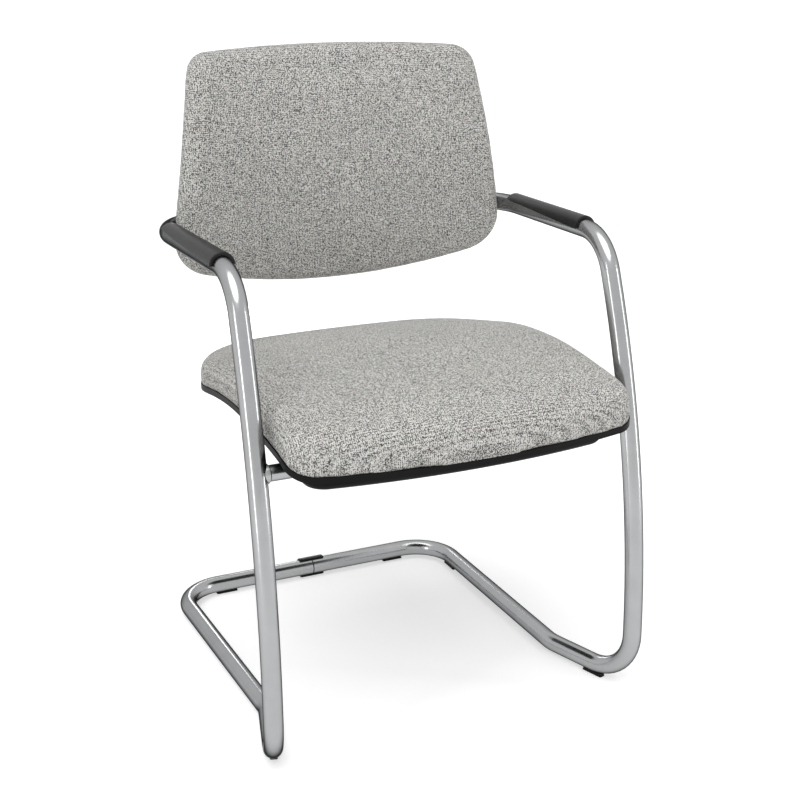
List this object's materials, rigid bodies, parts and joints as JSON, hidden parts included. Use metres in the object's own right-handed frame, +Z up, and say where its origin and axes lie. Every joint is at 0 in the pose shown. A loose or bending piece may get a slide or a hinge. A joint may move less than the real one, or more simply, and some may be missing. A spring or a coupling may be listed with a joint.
{
  "type": "sled base visitor chair",
  "caption": "Cantilever visitor chair: one bent steel tube forms the open floor loop, uprights, armrests and rear crossbar, carrying an upholstered seat and a bowed, fully padded backrest.",
  "frame": {"origin": "on the floor, under the middle of the whole chair", "axes": "+Z up; the sitter faces -Y; +X is on the right when the chair is seen from the front"},
  "size_m": [0.5442, 0.5834, 0.8469],
  "materials": {
    "frame_metal": "satin silver coat on steel tube",
    "plain_steel": "black powder coat",
    "zinc_steel": "zinc plated",
    "black_plastic": "fine grained black",
    "armrest_plastic": "satin black",
    "plywood": "plain moulded beech ply",
    "seat_upholstery": "mottled light grey woven wool look over foam",
    "back_upholstery": "mottled light grey woven wool look over foam"
  },
  "bodies": {
    "root": {"frame_left": "frame_metal", "frame_right": "frame_metal", "floor_joint_spigot": "plain_steel", "crossbar_joint_spigot": "plain_steel", "floor_joint_clip": "black_plastic", "crossbar_joint_clip": "black_plastic", "rear_glide_right": "black_plastic", "rear_glide_left": "black_plastic", "side_glide_right": "black_plastic", "side_glide_left": "black_plastic", "front_glide_right": "black_plastic", "front_glide_left": "black_plastic", "armrest_pad_right": "armrest_plastic", "armrest_pad_left": "armrest_plastic", "seat_cross_tube": "frame_metal", "cross_tube_welds": "frame_metal", "seat_rail_right": "plain_steel", "seat_rail_left": "plain_steel", "seat_rear_member": "plain_steel", "rear_member_plugs": "black_plastic", "seat_spacers": "black_plastic", "seat_bolts": "zinc_steel", "seat_tnuts": "zinc_steel", "seat_board": "plywood", "seat_shell": "black_plastic", "seat_shell_screws": "zinc_steel", "cross_tube_cover": "black_plastic", "seat_cushion": "seat_upholstery", "back_cushion": "back_upholstery", "back_board": "plywood", "back_tnuts": "zinc_steel", "back_outer_shell": "black_plastic", "back_shell_screws": "zinc_steel", "back_saddle_right": "black_plastic", "back_saddle_left": "black_plastic", "back_clamp_cap_right": "black_plastic", "back_clamp_cap_left": "black_plastic", "back_clamp_screws": "zinc_steel"}
  },
  "joints": []
}
